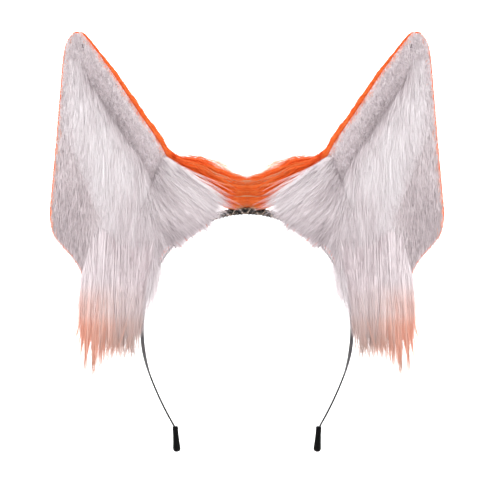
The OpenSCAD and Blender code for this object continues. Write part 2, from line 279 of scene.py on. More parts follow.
# Black electrophoretic paint on spring steel: a thin, even, near-black coat with a satin
# gloss, which faint rolling marks in the steel break up.
steel, tree, principled = new_material("black_coated_spring_steel", Specular_IOR_Level=0.3)
coords = node(tree, "TexCoord").outputs["Object"]
rolled = node(tree, "TexNoise", {"Scale": 1400.0, "Detail": 4.0}, {"Vector": coords}).outputs["Fac"]
coat = colour_ramp(tree, rolled, [(0.3, "#0a0a0b"), (0.7, "#161618")])
tree.links.new(coat, principled.inputs["Base Color"])
satin = node(tree, "MapRange", {"To Min": 0.28, "To Max": 0.5}, {"Value": rolled})
tree.links.new(satin.outputs["Result"], principled.inputs["Roughness"])
grain = node(tree, "Bump", {"Strength": 0.2, "Distance": 0.00005}, {"Height": rolled})
tree.links.new(grain.outputs["Normal"], principled.inputs["Normal"])

places, normals = chain(
    bend(crown_centre, crown_r, 0, crown_turn, ends=False),
    bend(side_centre, side_r, crown_turn, side_turn, ends=False),
    bend(tail_centre, tail_r, side_turn, tail_turn, ends=False),
    bend(bend_centre, -tip_bend_r, tail_turn, tip_turn, 4),
)
places = np.vstack([places, places[-1] + tip_length * tip_way])
normals = np.vstack([normals, normals[-1]])
for side, hand in sides:
    rings = strip_rings(places, normals, strip_w, strip_t, strip_corner)
    half = mesh_piece(f"{hand}_hoop_strip", *loft(rings), steel, side)
    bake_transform(half)
    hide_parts(f"{hand}_leg_strip", "crown_strip")


# --- Crown braid ------------------------------------------------------------------------
# Black polyester tubular braid drawn over the crown, so that the ears can't slide on the
# steel. Four flat cords wind each way and pass over and under one another.
braid_pitch = 9.0
cord_half_w = 0.72
cord_half_t = 0.26
weave_depth = 0.19
braid_r = wrap_r - cord_half_t - weave_depth
braid_length = 2 * math.radians(crown_turn) * crown_r
braid_step = 0.34
core_half_t = 1.75
core_half_w = 2.0

# Polyester braid: soft black and nearly matt, a little paler where its cords are worn. One
# cord in four is a grey-brown tracer, which shows as light flecks.
braid, tree, principled = new_material("black_polyester_braid", Roughness=0.7, Specular_IOR_Level=0.05)
along = node(tree, "UVMap", uv_map="OFBake").outputs["UV"]
# Filaments run along each cord; they are drawn at 0.15 mm, coarser than real ones, to show
filaments = node(tree, "TexWave", {"Scale": 9.0, "Distortion": 2.0, "Detail": 2.0},
                 {"Vector": along}, bands_direction="X").outputs["Fac"]
black_cord = colour_ramp(tree, filaments, [(0.2, "#030203"), (0.75, "#0d0c0d"), (1.0, "#2a2627")])
tracer_cord = colour_ramp(tree, filaments, [(0.2, "#8a7464"), (0.75, "#bda898"), (1.0, "#e2d6cc")])
cord_u = node(tree, "SeparateXYZ", links={"Vector": along}).outputs["X"]
tracer = colour_ramp(tree, cord_u, [(0.0, "#ffffff"), (0.125, "#000000"),
                                    (0.5, "#ffffff"), (0.625, "#000000")])
tracer.node.color_ramp.interpolation = "CONSTANT"
cords = node(tree, "MixRGB", links={"Fac": tracer, "Color1": black_cord, "Color2": tracer_cord})
tree.links.new(cords.outputs["Color"], principled.inputs["Base Color"])
thread_bump = node(tree, "Bump", {"Strength": 0.4, "Distance": 0.00008}, {"Height": filaments})
tree.links.new(thread_bump.outputs["Normal"], principled.inputs["Normal"])


def corner_vertices(piece):
    """The vertex at each corner of a piece's faces."""
    found = np.zeros(len(piece.data.loops), int)
    piece.data.loops.foreach_get("vertex_index", found)
    return found


steps = np.arange(0, braid_length + 0.01, braid_step)
section = [(math.cos(a), math.sin(a)) for a in np.linspace(0, 2 * math.pi, 8, endpoint=False)]
points, faces = [], []
for way in (1, -1):
    for cord in range(4):
        rings = []
        for s in steps:
            slope = s / crown_r - math.radians(crown_turn)
            out = np.array([math.sin(slope), 0, math.cos(slope)])
            turn = way * 2 * math.pi * s / braid_pitch + cord * math.pi / 2
            radial = math.cos(turn) * out + math.sin(turn) * np.array([0, 1, 0])
            r = braid_r + way * weave_depth * math.cos(8 * math.pi * s / braid_pitch)
            hoop = np.array([math.cos(slope), 0, -math.sin(slope)])
            pace = way * 2 * math.pi * braid_r / braid_pitch
            across = np.cross(radial, hoop + pace * np.cross(hoop, radial))
            across /= np.linalg.norm(across)
            centre = np.array([crown_centre[0], 0, crown_centre[1]]) + crown_r * out + r * radial
            rings.append([tuple(centre + cord_half_w * a * across + cord_half_t * b * radial)
                          for a, b in section])
        p, f = loft(rings)
        faces += [tuple(i + len(points) for i in face) for face in f]
        points += p
crown_braid = mesh_piece("crown_braid", points, faces, braid)
uv = crown_braid.data.uv_layers.new(name="OFBake")
ring_n, ring_count = len(section), len(steps)
vertex = corner_vertices(crown_braid)
ring_of = (vertex // ring_n) % ring_count
place_in = vertex % ring_n
cord_of = vertex // (ring_n * ring_count)
u = (cord_of + 0.05 + 0.9 * np.abs(place_in - ring_n / 2) / (ring_n / 2)) / 8
v = 0.02 + 0.96 * ring_of / ring_count
uv.data.foreach_set("uv", np.column_stack([u, v]).ravel())
# The dark tube under the cords, which shows in the gaps between them
rings = []
for s in np.radians(np.linspace(-crown_turn, crown_turn, 60)):
    ring = []
    for a in np.linspace(0, 2 * math.pi, 16, endpoint=False):
        r = crown_r + core_half_t * math.cos(a)
        ring.append((crown_centre[0] + r * math.sin(s), core_half_w * math.sin(a),
                     crown_centre[1] + r * math.cos(s)))
    rings.append(ring)
core = mesh_piece("crown_braid_core", *loft(rings), braid)
core.data.uv_layers.new(name="OFBake")
for piece in (crown_braid, core):
    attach(piece, "crown")
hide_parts("crown_wrap")


# --- Leg ribbons ------------------------------------------------------------------------
# Narrow black grosgrain ribbon glued round each steel leg, from under the fur down to an
# end that is trimmed and glued to a taper above the cap.
ribbon_start = 60.5
ribbon_end = 99.0
ribbon_tail_end = 109.5
ribbon_cover = 0.55
ribbon_corner = 0.35

# Grosgrain: woven polyester with fine ribs across it, a faded black with grey rib tops.
grosgrain, tree, principled = new_material("black_grosgrain_ribbon", Roughness=0.5)
along = node(tree, "UVMap", uv_map="OFBake").outputs["UV"]
# Ribs at 0.55 mm, over the ribbon's 67 mm
ribs = node(tree, "TexWave", {"Scale": 39.0, "Distortion": 0.6, "Detail": 1.0},
            {"Vector": along}, bands_direction="Y").outputs["Fac"]
faded = colour_ramp(tree, ribs, [(0.1, "#1b1a1c"), (0.8, "#454346"), (1.0, "#7d7a7d")])
tree.links.new(faded, principled.inputs["Base Color"])
rib_bump = node(tree, "Bump", {"Strength": 0.6, "Distance": 0.00012}, {"Height": ribs})
tree.links.new(rib_bump.outputs["Normal"], principled.inputs["Normal"])

places, normals = chain(bend(side_centre, side_r, ribbon_start, ribbon_tail_end, 0.5))
slopes = np.linspace(ribbon_start, ribbon_tail_end, len(places))
taper = np.clip((ribbon_tail_end - slopes) / (ribbon_tail_end - ribbon_end), 0.06, 1)
for side, hand in sides:
    rings = strip_rings(places, normals, strip_w + 2 * ribbon_cover,
                        strip_t + 2 * ribbon_cover * taper, ribbon_corner)
    ribbon = mesh_piece(f"{hand}_leg_ribbon_wrap", *loft(rings), grosgrain, side)
    uv = ribbon.data.uv_layers.new(name="OFBake")
    vertex = corner_vertices(ribbon)
    ring_n = len(rings[0])
    u, v = 0.1 + 0.1 * (vertex % ring_n), vertex // ring_n / len(rings)
    uv.data.foreach_set("uv", np.column_stack([u, v]).ravel())
    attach(ribbon, f"{hand}_leg")
    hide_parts(f"{hand}_leg_ribbon")


# --- End caps ---------------------------------------------------------------------------
# A dipped-rubber cap pushed over each bare tip, with a rolled mouth and a round bulb that
# is kind to the skin behind the ear.
# The cap's outline from its mouth to its bulb: how far back up the leg, and the radius
cap_profile = ((1.2, 0.95), (1.1, 1.35), (0.7, 1.64), (0.0, 1.75), (-1.0, 1.72), (-4.0, 1.76),
               (-8.0, 1.98), (-11.0, 2.24), (-12.3, 2.34), (-13.2, 2.15), (-13.8, 1.68),
               (-14.1, 1.05), (-14.2, 0.4))
cap_spread = 1.0
cap_shift = 0.5
cap_sides = 28


def mottled(name, texture, inputs, output, colours, strength, depth, **constants):
    """A material that one fine texture colours and bumps, the bump's depth in metres."""
    material, tree, principled = new_material(name, **constants)
    coords = node(tree, "TexCoord").outputs["Object"]
    pattern = node(tree, texture, inputs, {"Vector": coords}).outputs[output]
    tree.links.new(colour_ramp(tree, pattern, colours), principled.inputs["Base Color"])
    relief = node(tree, "Bump", {"Strength": strength, "Distance": depth}, {"Height": pattern})
    tree.links.new(relief.outputs["Normal"], principled.inputs["Normal"])
    return material


# Black PVC rubber: dipped, so it is smooth, with a dull sheen and slight ripples.
rubber = mottled("black_pvc_rubber", "TexNoise", {"Scale": 260.0, "Detail": 3.0}, "Fac",
                 [(0.3, "#030303"), (0.7, "#0a090a")], 0.25, 0.0002,
                 Roughness=0.5, IOR=1.5, Specular_IOR_Level=0.06)

across = np.array([math.cos(math.radians(tip_turn - 90)), -math.sin(math.radians(tip_turn - 90))])
for side, hand in sides:
    rings = []
    for down, r in cap_profile:
        centre = tip_start - down * tip_way - cap_shift * across
        ring = []
        for a in np.linspace(0, 2 * math.pi, cap_sides, endpoint=False):
            out = centre + r * math.cos(a) * across
            ring.append((out[0], (r + cap_spread) * math.sin(a), out[1]))
        rings.append(ring)
    cap = mesh_piece(f"{hand}_rubber_cap", *loft(rings), rubber, side)
    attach(cap, f"{hand}_leg")
    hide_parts(f"{hand}_end_cap")


# --- Felt sleeves and stitches ----------------------------------------------------------
# A strip of white wool felt folded round the braid under each ear and sewn shut. The ear
# tilts on it, stiffly, and orange whip stitches tie the ear's foot to it.
felt_t = 1.3
felt_lump = 0.06
felt_sides = 24
sleeve_in = wrap_r + 0.5
sleeve_out = sleeve_in + felt_t
foot_x = 29.62
foot_gap = 5.0
sleeve_lead = 4
sleeve_first = math.degrees(math.asin(foot_x / (crown_r + foot_gap))) - sleeve_lead
sleeve_last = crown_turn - 1

# Wool felt: pressed fibres with no weave, matt, with a mottled, slightly lumpy face.
felt = mottled("white_wool_felt", "TexNoise", {"Scale": 1100.0, "Detail": 6.0, "Roughness": 0.7}, "Fac",
               [(0.3, "#c9c0c4"), (0.7, "#e9e3e6")], 0.7, 0.0003, Roughness=0.95)

# Polyester sewing thread: two plies twisted together, with a dull gloss.
thread = mottled("polyester_thread", "TexNoise", {"Scale": 3000.0, "Detail": 2.0}, "Fac",
                 [(0.3, "#c4501c"), (0.7, "#f0763a")], 0.5, 0.00005, Roughness=0.5)


def round_section(slope, r, lump=0.0):
    """A ring round the hoop's middle line at a slope in degrees."""
    place, out = arc_at(crown_centre, crown_r, slope), arc_at((0, 0), 1, slope)
    ring = []
    for k in range(felt_sides):
        a = 2 * math.pi * k / felt_sides
        here = r + lump * math.sin(3 * a + slope)
        rise = here * math.cos(a)
        ring.append((place[0] + rise * out[0], here * math.sin(a), place[1] + rise * out[1]))
    return ring


for side, hand in sides:
    slopes = np.linspace(sleeve_first, sleeve_last, 26)
    outer = [round_section(s, sleeve_out, felt_lump) for s in slopes]
    inner = [round_section(s, sleeve_in) for s in slopes]
    points = [p for ring in outer + inner for p in ring]
    n, m = felt_sides, len(slopes)
    faces = []
    for i in range(m - 1):
        for k in range(n):
            a, b = i * n + k, i * n + (k + 1) % n
            faces.append((a, b, b + n, a + n))
            faces.append((a + m * n + n, b + m * n + n, b + m * n, a + m * n))
    for k in range(n):
        a, b = k, (k + 1) % n
        faces.append((b, a, a + m * n, b + m * n))
        faces.append((a + (m - 1) * n, b + (m - 1) * n, b + (2 * m - 1) * n, a + (2 * m - 1) * n))
    sleeve = mesh_piece(f"{hand}_felt_sleeve", points, faces, felt, side)
    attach(sleeve, f"{hand}_ear")
    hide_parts(f"{hand}_base_sleeve")
    stitches = bpy.data.objects[f"{hand}_base_stitches"]
    stitches.data.materials.clear()
    stitches.data.materials.append(thread)


# --- Ear foam ---------------------------------------------------------------------------
# The ear's core: a 2 mm sheet of white EVA foam cut to the ear's shape, cupped forward at
# its outer edge and creased along its inner flap. The lining and the back are glued to it.
ear_top = 110.0
lobe_drop = 38.0
foam_t = 2.0
foam_inset = 4.6
cup_depth = 20
flap_depth = 14


def mix(a, b, t):
    """From a to b as t goes from 0 to 1."""
    return a + (b - a) * t


def ease(t):
    """A smooth step from 0 to 1 as t goes from 0 to 1."""
    t = np.clip(t, 0, 1)
    return t * t * (3 - 2 * t)


def eased_profile(knots):
    """A smooth curve of x against height through the knots, which are (height, x)."""
    heights = np.arange(-70.0, 121.0, 0.5)
    z, x = np.array(knots).T
    raw = np.interp(heights, z, x)
    kernel = np.exp(-0.5 * (np.arange(-9, 10) / 4.0) ** 2)
    padded = np.pad(raw, 9, mode="edge")
    return heights, np.convolve(padded, kernel / kernel.sum(), "valid")


def base_x(z):
    """The ear's foot, which follows the sleeve round the hoop."""
    high_r, low_r = crown_r + foot_gap, side_r + foot_gap
    high = np.sqrt(np.maximum(high_r ** 2 - (z - crown_centre[1]) ** 2, 0)) + crown_centre[0]
    low = np.sqrt(np.maximum(low_r ** 2 - (z - side_centre[1]) ** 2, 0)) + side_centre[0]
    return np.where(z > crown_end[1], high, low)


# The ear's outline, and the share of its width at which the fold runs, against height
outer_line = eased_profile([(-40, 93), (-38, 95.4), (-25, 102.9), (-15.6, 111.6), (-10.6, 115.4),
                            (0, 116.6), (29.7, 114.4), (94.6, 110), (103, 108.6), (107, 106.2),
                            (109, 103.6), (110, 101.5)])
inner_line = eased_profile([(0, 29.6), (10, 31.8), (22, 37), (41.8, 47.4), (56, 57.6), (66, 65),
                            (85, 78.8), (104.5, 94.2), (108, 97), (110, 100.5)])
fold_line = eased_profile([(0, 1), (11, 0.8), (22, 0.74), (36, 0.735), (45, 0.67), (66, 0.595),
                           (82, 0.47), (110, 0.45)])


def outer_x(z):
    """The ear's outer outline at a height."""
    return np.interp(z, *outer_line)


def inner_x(z):
    """The ear's inner outline at a height, which meets the foot below the fold."""
    return np.where(z <= 4, base_x(z), np.maximum(np.interp(z, *inner_line), base_x(np.minimum(z, 4))))


def cup_y(u, z):
    """How far the ear's middle surface stands forward, u of the way from its outer edge."""
    z = np.clip(z, -lobe_drop, ear_top)
    u = np.clip(u, 0, 1)
    fold = np.interp(z, *fold_line)
    outer = cup_depth * np.where(z < 0, mix(1, 0.75, -z / lobe_drop), mix(1, 0.18, z / ear_top))
    inner = flap_depth * ease(z / 34) * mix(1, 0.2, np.clip(z / ear_top, 0, 1))
    out = -outer * (np.clip(fold - u, 0, 1) / fold) ** 1.6
    return out - inner * (np.clip(u - fold, 0, 1) / np.maximum(1 - fold, 0.01)) ** 0.8


def share(x, z):
    """How far a place is from the outer outline to the inner one, from 0 to 1."""
    z = np.clip(z, -lobe_drop, ear_top - 1)
    return (outer_x(z) - x) / np.maximum(outer_x(z) - inner_x(z), 1.0)


def ear_y(x, z):
    """The ear's middle surface at a place, carried on level past its edges."""
    return cup_y(share(x, z), z)


def seam_in(z):
    """How far in from the ear's inner outline its seam lies, behind the orange pile."""
    return np.interp(z, [0, 4, 14, 30, 60, 80, 96, 104, 108], [0, 0.8, 3.2, 4.4, 3.4, 2.0, 1.1, 0.9, 0.7])


def ear_slab(back, front, inset, rows=90, cols=44, low=-lobe_drop + 1.5, high=ear_top - 1.2):
    """Points and faces of a sheet of the ear; back and front are depths by gap to the edge."""
    heights = np.concatenate([np.linspace(low, 0, rows // 4, endpoint=False), np.linspace(0, high, rows)])
    v = np.linspace(0, 1, cols + 1)
    grids = []
    for depth in (front, back):
        grid = []
        for z in heights:
            left = outer_x(z) - inset
            right = inner_x(z) + seam_in(z) + (inset - 0.9) * min(max(z, 0) / 2, 1)
            right = min(right, left - 0.8)
            x = mix(left, right, v)
            from_edge = np.minimum(np.abs(x - left), np.abs(x - right) + (0 if z > 2 else 9))
            from_edge = np.minimum(from_edge, high - z)
            y = ear_y(x, z) + depth(from_edge)
            grid.append(np.column_stack([x, y, np.full_like(x, z)]))
        grids.append(np.array(grid))
    rows_n, cols_n = grids[0].shape[:2]
    index = np.arange(rows_n * cols_n).reshape(rows_n, cols_n)
    back_at = rows_n * cols_n
    faces = []
    for i in range(rows_n - 1):
        for j in range(cols_n - 1):
            a, b, c, d = index[i, j], index[i, j + 1], index[i + 1, j + 1], index[i + 1, j]
            faces.append((a, b, c, d))
            faces.append((d + back_at, c + back_at, b + back_at, a + back_at))
    rim = list(index[0]) + list(index[1:, -1]) + list(index[-1, -2::-1]) + list(index[-2:0:-1, 0])
    for a, b in zip(rim, rim[1:] + rim[:1]):
        faces.append((b, a, a + back_at, b + back_at))
    return np.concatenate([g.reshape(-1, 3) for g in grids]), faces


# EVA foam sheet: white and matt, with fine closed cells on its cut faces.
foam = mottled("eva_foam_sheet", "TexVoronoi", {"Scale": 2500.0}, "Distance",
               [(0.0, "#dedad8"), (0.6, "#f2f0ee")], 0.4, 0.0001, Roughness=0.85)
foam_shape = ear_slab(lambda e: foam_t / 2, lambda e: -foam_t / 2, foam_inset, 60, 30, high=ear_top - 6)
for side, hand in sides:
    core_sheet = mesh_piece(f"{hand}_foam_core", *foam_shape, foam, side)
    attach(core_sheet, f"{hand}_ear")
    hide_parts(f"{hand}_ear_foam")


# --- Edge roll and frame wire -----------------------------------------------------------
# The orange back fabric is rolled forward round a frame wire along the ear's whole edge,
# and the lining is sewn down over the roll.
roll_r = 1.7
wire_r = 0.6


def ear_edge(inset, step=1.5):
    """A path along the ear's edge from its inner foot, over the tip, to the lobe's foot."""
    up = np.arange(4, ear_top - 6, step)
    inner = [(inner_x(z) + max(inset, seam_in(z) - 0.2), z) for z in up]
    outer = [(outer_x(z) - inset, z) for z in up[::-1]]
    low = [(outer_x(z) - inset, z) for z in np.arange(4 - step, 1 - lobe_drop, -step)]
    top_a, top_b = np.array(inner[-1]), np.array(outer[0])
    crown_point = np.array([101.3, ear_top - inset])
    pull = 2 * crown_point - (top_a + top_b) / 2
    turn = [(1 - t) ** 2 * top_a + 2 * t * (1 - t) * pull + t * t * top_b
            for t in np.linspace(0, 1, 12)[1:-1]]
    flat = np.array(inner + [tuple(p) for p in turn] + outer + low)
    for _ in range(3):
        flat[1:-1] = 0.25 * flat[:-2] + 0.5 * flat[1:-1] + 0.25 * flat[2:]
    return np.column_stack([flat[:, 0], ear_y(flat[:, 0], flat[:, 1]), flat[:, 1]])


def rod(path, r, n):
    """Rings round a path; r may be one number or one a place."""
    way = np.gradient(path, axis=0)
    way /= np.linalg.norm(way, axis=1)[:, None]
    a = np.cross(way, [0, 1, 0])
    a /= np.linalg.norm(a, axis=1)[:, None]
    b = np.cross(way, a)
    angles = np.linspace(0, 2 * math.pi, n, endpoint=False)
    r = np.broadcast_to(r, len(path))
    return [[tuple(p + k * (math.cos(t) * s + math.sin(t) * c)) for t in angles]
            for p, s, c, k in zip(path, a, b, r)]


# Orange acrylic fur fabric: a knit backing dyed orange, matt, showing between the hairs.
orange_backing = mottled("orange_acrylic_knit", "TexNoise", {"Scale": 1200.0, "Detail": 4.0}, "Fac",
                         [(0.3, "#c44a17"), (0.7, "#f0672a")], 0.6, 0.0003, Roughness=0.9)
edge_path = ear_edge(roll_r)
for side, hand in sides:
    roll = mesh_piece(f"{hand}_edge_roll", *loft(rod(edge_path, roll_r, 14)), orange_backing, side)
    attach(roll, f"{hand}_ear")
    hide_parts(f"{hand}_edge_binding")
    wire = mesh_piece(f"{hand}_frame_wire", *loft(rod(edge_path, wire_r, 8)), steel, side)
    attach(wire, f"{hand}_ear")
    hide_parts(f"{hand}_ear_wire")


# --- Plush lining -----------------------------------------------------------------------
# The ear's face: white plush with a short curled pile, its backing glued to the foam and
# its edge sewn over the orange roll, which tints the last hairs.
hair_cells = 128


def fibre(name, stages, roughness=0.6, sheen=0.0, gloss=0.5, spread=0.14):
    """Acrylic fur fibre. Its colour runs along the hair through stages, each a place on it and
    a ramp over the tone in u, and each hair is a little lighter or darker than the next."""
    material, tree, principled = new_material(name, Roughness=roughness)
    principled.inputs["Sheen Weight"].default_value = sheen
    principled.inputs["Sheen Roughness"].default_value = 0.4
    principled.inputs["Specular IOR Level"].default_value = gloss
    uv = node(tree, "UVMap", uv_map="OFBake").outputs["UV"]
    parts = node(tree, "SeparateXYZ", links={"Vector": uv})
    tone, along = parts.outputs["X"], parts.outputs["Y"]
    colour = colour_ramp(tree, tone, stages[0][1])
    for (last, _), (place, stops) in zip(stages, stages[1:]):
        reach = node(tree, "MapRange", {"From Min": last, "From Max": place}, {"Value": along},
                     interpolation_type="SMOOTHSTEP").outputs["Result"]
        links = {"Fac": reach, "Color1": colour, "Color2": colour_ramp(tree, tone, stops)}
        colour = node(tree, "MixRGB", links=links).outputs["Color"]
    count = node(tree, "Math", {1: float(hair_cells)}, {0: tone}, operation="MULTIPLY").outputs[0]
    cell = node(tree, "Math", links={0: count}, operation="FLOOR").outputs[0]
    luck = node(tree, "TexWhiteNoise", links={"W": cell}, noise_dimensions="1D").outputs["Value"]
    level = node(tree, "MapRange", {"To Min": 1 - spread, "To Max": 1.0}, {"Value": luck})
    shaded = node(tree, "MixRGB", {"Fac": 1.0}, {"Color1": colour, "Color2": level.outputs["Result"]},
                  blend_type="MULTIPLY")
    tree.links.new(shaded.outputs["Color"], principled.inputs["Base Color"])
    return material


def hairs(name, hand, side, material, paths, width, tone, twist_seed, facing=(0, -1, 0), along=None):
    """Hairs along paths, each a tapering ribbon turned at random about its own length. Their
    map runs across by tone and along by share of length, or by along where it is given."""
    n, k = paths.shape[0], paths.shape[1] - 1
    rng = np.random.default_rng(twist_seed)
    way = np.gradient(paths, axis=1)
    way /= np.maximum(np.linalg.norm(way, axis=2), 1e-9)[:, :, None]
    turned = rng.normal(size=(n, 1, 3))
    across = np.cross(way, turned)
    across /= np.maximum(np.linalg.norm(across, axis=2), 1e-9)[:, :, None]
    flat = np.cross(across[:, 0], way[:, 0])
    flip = np.sign((flat * np.asarray(facing)).sum(axis=1))
    across *= np.where(flip == 0, 1, flip)[:, None, None]
    t = np.linspace(0, 1, k + 1)[:-1]
    half = 0.5 * np.broadcast_to(width, n)[:, None] * (1 - 0.75 * t ** 1.4)[None, :]
    left = paths[:, :k] - half[:, :, None] * across[:, :k]
    right = paths[:, :k] + half[:, :, None] * across[:, :k]
    points = np.concatenate([np.stack([left, right], axis=2).reshape(n, 2 * k, 3), paths[:, k:]], axis=1)
    per = 2 * k + 1
    quads = np.array([(2 * i, 2 * i + 1, 2 * i + 3, 2 * i + 2) for i in range(k - 1)]).reshape(-1)
    corners = np.concatenate([quads, [2 * k - 2, 2 * k - 1, 2 * k]])
    sizes = np.array([4] * (k - 1) + [3])
    cell = np.clip((np.clip(tone, 0, 0.9999) * hair_cells).astype(int), 0, hair_cells - 1)
    low, high = (cell + 0.2) / hair_cells, (cell + 0.8) / hair_cells
    v = 0.01 + 0.98 * (np.broadcast_to(np.arange(k + 1) / k, (n, k + 1)) if along is None else along)
    uv_points = np.empty((n, per, 2))
    uv_points[:, 0:2 * k:2, 0], uv_points[:, 1:2 * k:2, 0] = low[:, None], high[:, None]
    uv_points[:, 0:2 * k:2, 1] = uv_points[:, 1:2 * k:2, 1] = v[:, :k]
    uv_points[:, 2 * k, 0], uv_points[:, 2 * k, 1] = (low + high) / 2, v[:, k]
    points = points.reshape(-1, 3) * MM
    order = corners
    if side < 0:
        points = points * (-1, 1, 1)
        starts = np.cumsum(sizes) - sizes
        order = np.concatenate([corners[a:a + s][::-1] for a, s in zip(starts, sizes)])
    vertex = (order[None, :] + per * np.arange(n)[:, None]).reshape(-1)
    data = bpy.data.meshes.new(name)
    data.vertices.add(len(points))
    data.vertices.foreach_set("co", points.astype(np.float32).ravel())
    data.loops.add(len(vertex))
    data.loops.foreach_set("vertex_index", vertex.astype(np.int32))
    all_sizes = np.tile(sizes, n)
    data.polygons.add(len(all_sizes))
    data.polygons.foreach_set("loop_start", (np.cumsum(all_sizes) - all_sizes).astype(np.int32))
    uv = data.uv_layers.new(name="OFBake")
    uv.data.foreach_set("uv", uv_points.reshape(-1, 2)[vertex].astype(np.float32).ravel())
    data.update(calc_edges=True)
    data.validate()
    data.shade_smooth()
    data.materials.append(material)
    piece = bpy.data.objects.new(name, data)
    scene.collection.objects.link(piece)
    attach(piece, f"{hand}_ear")
    return piece


def scatter(rng, count, inside, low, high):
    """count random places as (x, z) in a box, kept where inside(x, z) is true."""
    kept = np.empty((0, 2))
    while len(kept) < count:
        p = rng.uniform(low, high, (4 * count, 2))
        kept = np.vstack([kept, p[inside(p[:, 0], p[:, 1])]])
    return kept[:count]


def on_face(x, z, inset):
    """Whether a place is on the ear, more than inset in from its edges."""
    across = (x < outer_x(z) - inset) & (x > inner_x(z) + np.where(z > 2, inset, 0))
    return across & (z > 0.6 - lobe_drop) & (z < ear_top - 0.8)


def bunch(rng, paths, spacing, pull, close=0.3, start=0.0):
    """Draws hairs together towards guide hairs about spacing apart, more towards their tips."""
    n, k = paths.shape[0], paths.shape[1] - 1
    span = paths[:, 0, (0, 2)].max(axis=0) - paths[:, 0, (0, 2)].min(axis=0)
    guides = rng.choice(n, max(int(min(n / 3, span[0] * span[1] / spacing ** 2)), 2), replace=False)
    roots = paths[:, 0, (0, 2)]
    nearest = np.empty(n, int)
    for a in range(0, n, 4000):
        gap = ((roots[a:a + 4000, None] - roots[guides][None]) ** 2).sum(axis=2)
        nearest[a:a + 4000] = guides[gap.argmin(axis=1)]
    t = np.clip((np.linspace(0, 1, k + 1) - start) / (1 - start), 0, 1)
    offset = (paths[:, :1] - paths[nearest][:, :1]) * mix(1, close, t)[None, :, None]
    weight = (pull * t ** 1.1)[None, :, None] * rng.uniform(0.55, 1, (n, 1, 1))
    return paths + weight * (paths[nearest] + offset - paths), nearest


# White knit backing: polyester, matt, mottled by the curled roots that cover it.
lining_knit = mottled("white_plush_backing", "TexNoise", {"Scale": 900.0, "Detail": 4.0}, "Fac",
                      [(0.3, "#c3b9be"), (0.7, "#dfd7db")], 0.6, 0.0004, Roughness=0.95)

# Plush pile: crimped polyester, dull white. Its tone range darkens to grey, which carries painted
# shade in the fold and low on the outer side, and its roots are painted a little darker as shade
# among the curls. The top of the tone range, past 0.85, is the salmon of the hairs that touch the
# orange edge.
plush_fibre = fibre("white_plush_fibre",
                    [(0.15, [(0.0, "#efe6e8"), (0.5, "#d6c9cc"), (0.85, "#94868a"),
                             (0.88, "#f2a588"), (1.0, "#f4764a")]),
                     (0.9, [(0.0, "#f8f1f3"), (0.5, "#e6dadd"), (0.85, "#a89a9e"),
                            (0.88, "#f9cdbf"), (1.0, "#fb9a78")])],
                    roughness=0.7, sheen=0.1, spread=0.16)


def fold_x(z):
    """Where the ear's fold runs, at a height."""
    return mix(outer_x(z), inner_x(z), np.interp(z, *fold_line))


def painted_fold_shade(x, z):
    """Painted shade in the fold's valley: how deep a place lies there, from 0 to 1; the flap side
    rises faster.
    """
    gap = fold_x(z) - x - 2.5
    near = np.exp(-(gap / np.where(gap > 0, 5.0, np.interp(z, [0, 30, 90], [9, 8, 6]))) ** 2)
    return near * ease((z + 12) / 36) * ease((98 - z) / 22) * np.interp(z, [20, 50], [0.7, 1])


def lining_zone(x, z):
    """The lining stops at the seam, inside the ear's inner edge."""
    return on_face(x, z, 0.5) & (x > inner_x(z) + seam_in(z) - 0.4)


plush_count = 32000
plush_width = 0.36
ear_low, ear_high = (28, -38), (118, 110)
rng = np.random.default_rng(11)
roots = scatter(rng, plush_count, lining_zone, ear_low, ear_high)
x, z = roots.T
u = share(x, z)
fold = np.interp(z, *fold_line)
edge_gap = np.minimum(outer_x(z) - x, np.where(z > 4, x - inner_x(z) - seam_in(z), 9))
edge_gap = np.minimum(edge_gap, 1.2 * (ear_top - z))
combed = ease((75 - z) / 40) * ease((fold - u) / 0.1)
pile = mix(rng.uniform(2.0, 3.4, len(x)), rng.uniform(4.0, 7.0, len(x)), combed)
pile *= np.where(edge_gap < 2.5, 0.6, 1.0)
steps = 2
paths = np.empty((len(x), steps + 1, 3))
lean_x = rng.normal(0, mix(0.6, 0.16, combed))
lean_z = mix(rng.normal(-0.6, 0.5, len(x)), rng.normal(-1.0, 0.12, len(x)), combed)
lift = rng.uniform(0.2, 0.8, len(x)) * mix(1, 0.45, combed)
for i in range(steps + 1):
    t = i / steps
    px = x + pile * lean_x * t * 0.7
    pz = z + pile * lean_z * t * (0.6 + 0.4 * t)
    paths[:, i] = np.column_stack([px, ear_y(px, pz) - 2.4 - pile * lift * t * (1 - 0.35 * t), pz])
# Painted shade: the plush is darker in the fold's valley and low on the outer side, where the long fur
# shades it.
tone = 0.24 + rng.normal(0, 0.08, len(x)) + 0.42 * painted_fold_shade(x, z)
tone += 0.34 * ease((62 - z) / 60) * ease((0.42 - u) / 0.25)
# A faint pressed line runs beside the seam
seam_gap = np.abs(x - inner_x(z) - seam_in(z) - 6.5)
tone += 0.22 * (seam_gap < 0.5) * (z > 30)
tone = np.clip(tone, 0.02, 0.84)
near_edge = edge_gap < rng.uniform(0.3, 1.2, len(x)) + rng.exponential(0.6, len(x))
tone = np.where(near_edge & (z > -36), np.clip(0.97 - 0.05 * edge_gap, 0.88, 0.97), tone)
plush_paths, plush_tone = paths, tone
# An ear's cut piece of fabric laid flat, lining and back alike
lining_shape = ear_slab(lambda e: -mix(1.85, 1.05, ease((e - 1) / 4)),
                        lambda e: -mix(2.3, 2.35, ease(e / 3)), 0.9)
for side, hand in sides:
    lining = mesh_piece(f"{hand}_plush_lining", *lining_shape, lining_knit, side)
    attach(lining, f"{hand}_ear")
    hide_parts(f"{hand}_ear_lining")
    hairs(f"{hand}_plush_pile", hand, side, plush_fibre, plush_paths, plush_width, plush_tone, 12)


